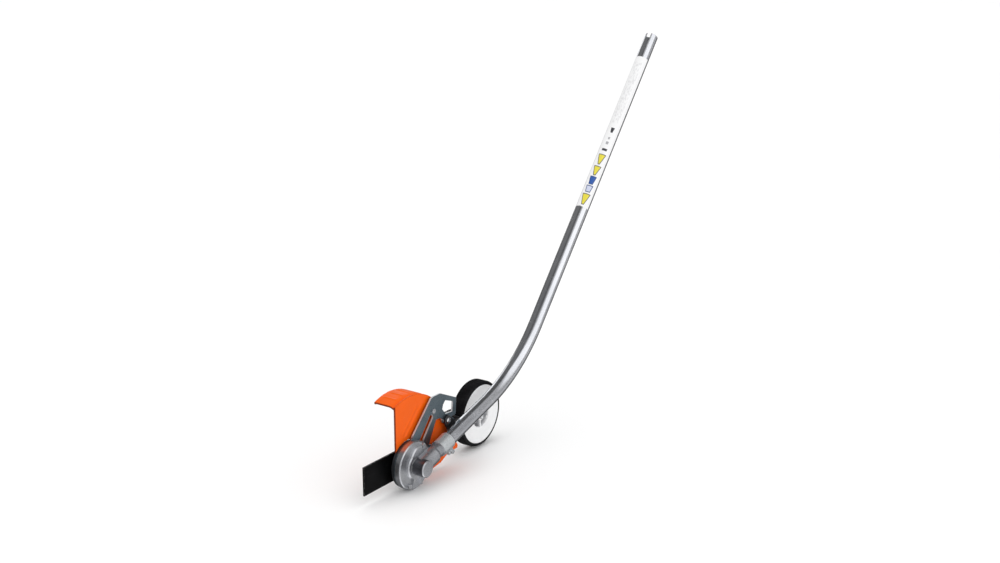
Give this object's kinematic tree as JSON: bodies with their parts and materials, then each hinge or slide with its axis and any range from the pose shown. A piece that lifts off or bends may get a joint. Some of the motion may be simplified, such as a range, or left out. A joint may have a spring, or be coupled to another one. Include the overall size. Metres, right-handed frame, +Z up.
{
  "type": "lawn edger attachment",
  "caption": "Lawn edger head on a bent drive tube: bevel gear case, flat blade under an orange guard, slotted bracket and a depth wheel on a clamped arm.",
  "frame": {"origin": "centre of the drive tube's open upper end, on the tube's axis", "axes": "+X forwards, the way the tool travels; +Y to the tool's left, the side of the spindle boss; +Z up"},
  "size_m": [0.8731, 0.089, 0.6971],
  "materials": {
    "tube": "satin drawn tube",
    "label": "satin printed wrap",
    "liner": "smooth",
    "guides": "matte",
    "cable": "wound strands",
    "bush": "sintered",
    "shaft_steel": "ground",
    "gear_steel": "machined, greased",
    "bearing_steel": "polished",
    "spring_steel": "phosphated",
    "casting": "cast, fine grain, machined bevels",
    "zinc": "zinc plated",
    "seal": "moulded lip",
    "cover": "dark satin paint",
    "blade": "black paint on steel, worn at the edges",
    "bracket": "pressed, zinc plated plate",
    "guard": "moulded, fine grain",
    "arm": "black powder coat",
    "disc": "moulded",
    "bushes": "turned",
    "tyre": "ribbed rubber"
  },
  "bodies": {
    "root": {"drive_tube": "tube", "tube_label": "label", "cable_liner": "liner", "liner_guides": "guides", "drive_cable": "cable", "coupler_bush": "bush", "gear_housing": "casting", "housing_screws": "zinc", "pinch_screws": "zinc", "pinion_bearings": "bearing_steel", "pinion_circlip": "spring_steel", "upper_bearing": "bearing_steel", "lower_bearing": "bearing_steel", "spindle_seal": "seal", "bearing_cover": "cover", "bracket": "bracket", "guard": "guard", "guard_screws": "zinc", "pivot_pin": "shaft_steel", "pivot_washer": "zinc", "pivot_clip": "spring_steel"},
    "coupler": {"drive_coupler": "shaft_steel"},
    "pinion": {"pinion_shaft": "shaft_steel", "pinion_gear": "gear_steel"},
    "blade_spindle": {"spindle": "shaft_steel", "ring_gear": "gear_steel", "spindle_circlip": "spring_steel", "arbor_flange": "shaft_steel", "blade": "blade", "clamp_washer": "shaft_steel", "blade_nut": "zinc"},
    "depth_arm": {"wheel_arm": "arm", "clamp_screw": "zinc", "clamp_washer_small": "spring_steel", "slot_nut": "shaft_steel", "wheel_axle": "zinc", "axle_washers": "zinc", "axle_nut": "zinc"},
    "wheel": {"wheel_disc": "disc", "wheel_bushes": "bushes", "tyre": "tyre"}
  },
  "joints": [
    {"name": "blade_spin", "type": "hinge", "parent": "root", "child": "blade_spindle", "pos_m": [0.76206, 0, -0.64694], "axis": [0, 1, 0], "continuous": true},
    {"name": "pinion_spin", "type": "hinge", "parent": "root", "child": "pinion", "pos_m": [0.76206, 0, -0.64694], "axis": [-0.9588, 0, 0.284], "continuous": true},
    {"name": "coupler_spin", "type": "hinge", "parent": "root", "child": "coupler", "pos_m": [0, 0, 0], "axis": [-0.6455, 0, 0.7638], "continuous": true},
    {"name": "depth_swing", "type": "hinge", "parent": "root", "child": "depth_arm", "pos_m": [0.68206, 0, -0.64394], "axis": [0, -1, 0], "range_deg": [-2, 22]},
    {"name": "wheel_spin", "type": "hinge", "parent": "depth_arm", "child": "wheel", "pos_m": [0.54906, 0, -0.62594], "axis": [0, 1, 0], "continuous": true}
  ],
  "couplings": [
    {"joint": "pinion_spin", "follows": "blade_spin", "ratio": 1.4},
    {"joint": "coupler_spin", "follows": "blade_spin", "ratio": 1.4}
  ]
}
